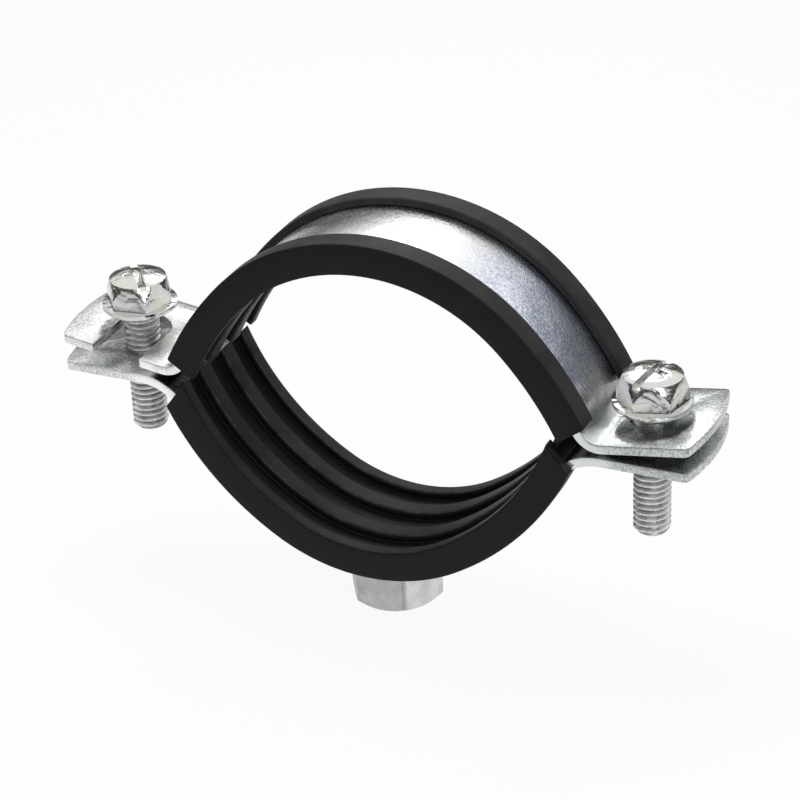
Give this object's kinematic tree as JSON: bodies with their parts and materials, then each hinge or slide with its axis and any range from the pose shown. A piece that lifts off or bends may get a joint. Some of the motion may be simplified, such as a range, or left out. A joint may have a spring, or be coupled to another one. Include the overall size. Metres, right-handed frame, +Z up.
{
  "type": "pipe clamp",
  "caption": "Rubber lined steel pipe clamp with quick-release slot, screws and a threaded hanger nut.",
  "frame": {"origin": "centre of the lower half's bottom arc, on the axis of a pipe lying in it", "axes": "+X towards the ear with the round hole, +Y along the pipe away from the slot's open side, +Z up from the hanger nut"},
  "size_m": [0.1086, 0.0226, 0.0672],
  "materials": {
    "zinc_plated_strip": "satin",
    "bright_zinc": "polished",
    "epdm_rubber": "satin"
  },
  "bodies": {
    "lower_half": {"lower_band": "zinc_plated_strip", "lower_lining": "epdm_rubber", "coupling_nut": "bright_zinc"},
    "upper_half": {"upper_band": "zinc_plated_strip", "upper_lining": "epdm_rubber"},
    "left_screw_body": {"left_screw": "bright_zinc"},
    "right_screw_body": {"right_screw": "bright_zinc"}
  },
  "joints": [
    {"name": "left_screw_travel", "type": "slide", "parent": "lower_half", "child": "left_screw_body", "axis": [0, 0, 1], "range_m": [-0.0025, 0.01]},
    {"name": "right_screw_travel", "type": "slide", "parent": "lower_half", "child": "right_screw_body", "axis": [0, 0, 1], "range_m": [-0.0012, 0.011]},
    {"name": "upper_half_swing", "type": "hinge", "parent": "lower_half", "child": "upper_half", "pos_m": [0.044, 0, 0], "axis": [0, 0, 1], "range_deg": [-110, 0]}
  ]
}
